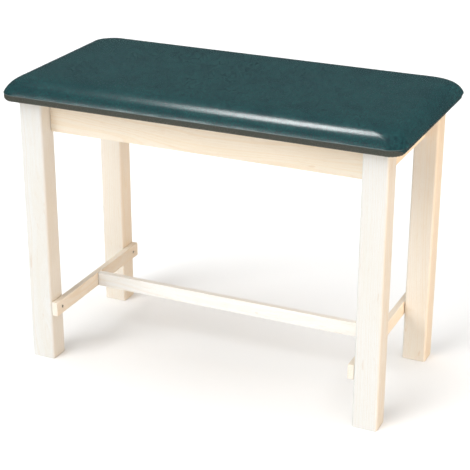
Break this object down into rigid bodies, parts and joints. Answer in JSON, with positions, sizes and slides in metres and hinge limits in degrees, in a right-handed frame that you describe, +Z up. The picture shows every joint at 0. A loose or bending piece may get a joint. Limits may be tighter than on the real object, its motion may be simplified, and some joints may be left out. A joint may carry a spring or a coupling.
{
  "type": "treatment table",
  "caption": "Fixed medical treatment table: a long padded vinyl top with rounded edges on a maple frame of square legs and aprons, with an H-shaped brace near the floor.",
  "frame": {"origin": "on the floor, under the middle of the table", "axes": "+X along the table's length, towards its right end; +Y from the front to the rear; +Z up"},
  "size_m": [1.226, 0.617, 0.9045],
  "materials": {
    "vinyl": "satin",
    "foam": "matte",
    "plywood": "matte",
    "maple": "satin",
    "zinc_steel": "satin"
  },
  "bodies": {
    "root": {"vinyl_cover": "vinyl", "foam_pad": "foam", "deck_panel": "plywood", "leg_front_left": "maple", "leg_front_right": "maple", "leg_rear_left": "maple", "leg_rear_right": "maple", "apron_front": "maple", "apron_rear": "maple", "apron_left": "maple", "apron_right": "maple", "corner_block_front_left": "maple", "corner_block_front_right": "maple", "corner_block_rear_left": "maple", "corner_block_rear_right": "maple", "end_rail_left": "maple", "end_rail_right": "maple", "stretcher": "maple", "cleat_front": "maple", "cleat_rear": "maple", "hanger_bolt_front_left_lower": "zinc_steel", "hanger_bolt_front_left_upper": "zinc_steel", "flange_nut_front_left_lower": "zinc_steel", "flange_nut_front_left_upper": "zinc_steel", "block_screw_front_left_long": "zinc_steel", "block_screw_front_left_end": "zinc_steel", "deck_screw_front_left": "zinc_steel", "deck_screw_cleat_front_left": "zinc_steel", "rail_screw_front_left": "zinc_steel", "hanger_bolt_front_right_lower": "zinc_steel", "hanger_bolt_front_right_upper": "zinc_steel", "flange_nut_front_right_lower": "zinc_steel", "flange_nut_front_right_upper": "zinc_steel", "block_screw_front_right_long": "zinc_steel", "block_screw_front_right_end": "zinc_steel", "deck_screw_front_right": "zinc_steel", "deck_screw_cleat_front_right": "zinc_steel", "rail_screw_front_right": "zinc_steel", "hanger_bolt_rear_left_lower": "zinc_steel", "hanger_bolt_rear_left_upper": "zinc_steel", "flange_nut_rear_left_lower": "zinc_steel", "flange_nut_rear_left_upper": "zinc_steel", "block_screw_rear_left_long": "zinc_steel", "block_screw_rear_left_end": "zinc_steel", "deck_screw_rear_left": "zinc_steel", "deck_screw_cleat_rear_left": "zinc_steel", "rail_screw_rear_left": "zinc_steel", "hanger_bolt_rear_right_lower": "zinc_steel", "hanger_bolt_rear_right_upper": "zinc_steel", "flange_nut_rear_right_lower": "zinc_steel", "flange_nut_rear_right_upper": "zinc_steel", "block_screw_rear_right_long": "zinc_steel", "block_screw_rear_right_end": "zinc_steel", "deck_screw_rear_right": "zinc_steel", "deck_screw_cleat_rear_right": "zinc_steel", "rail_screw_rear_right": "zinc_steel", "stretcher_screw_left_lower": "zinc_steel", "stretcher_screw_left_upper": "zinc_steel", "stretcher_screw_right_lower": "zinc_steel", "stretcher_screw_right_upper": "zinc_steel"}
  },
  "joints": []
}
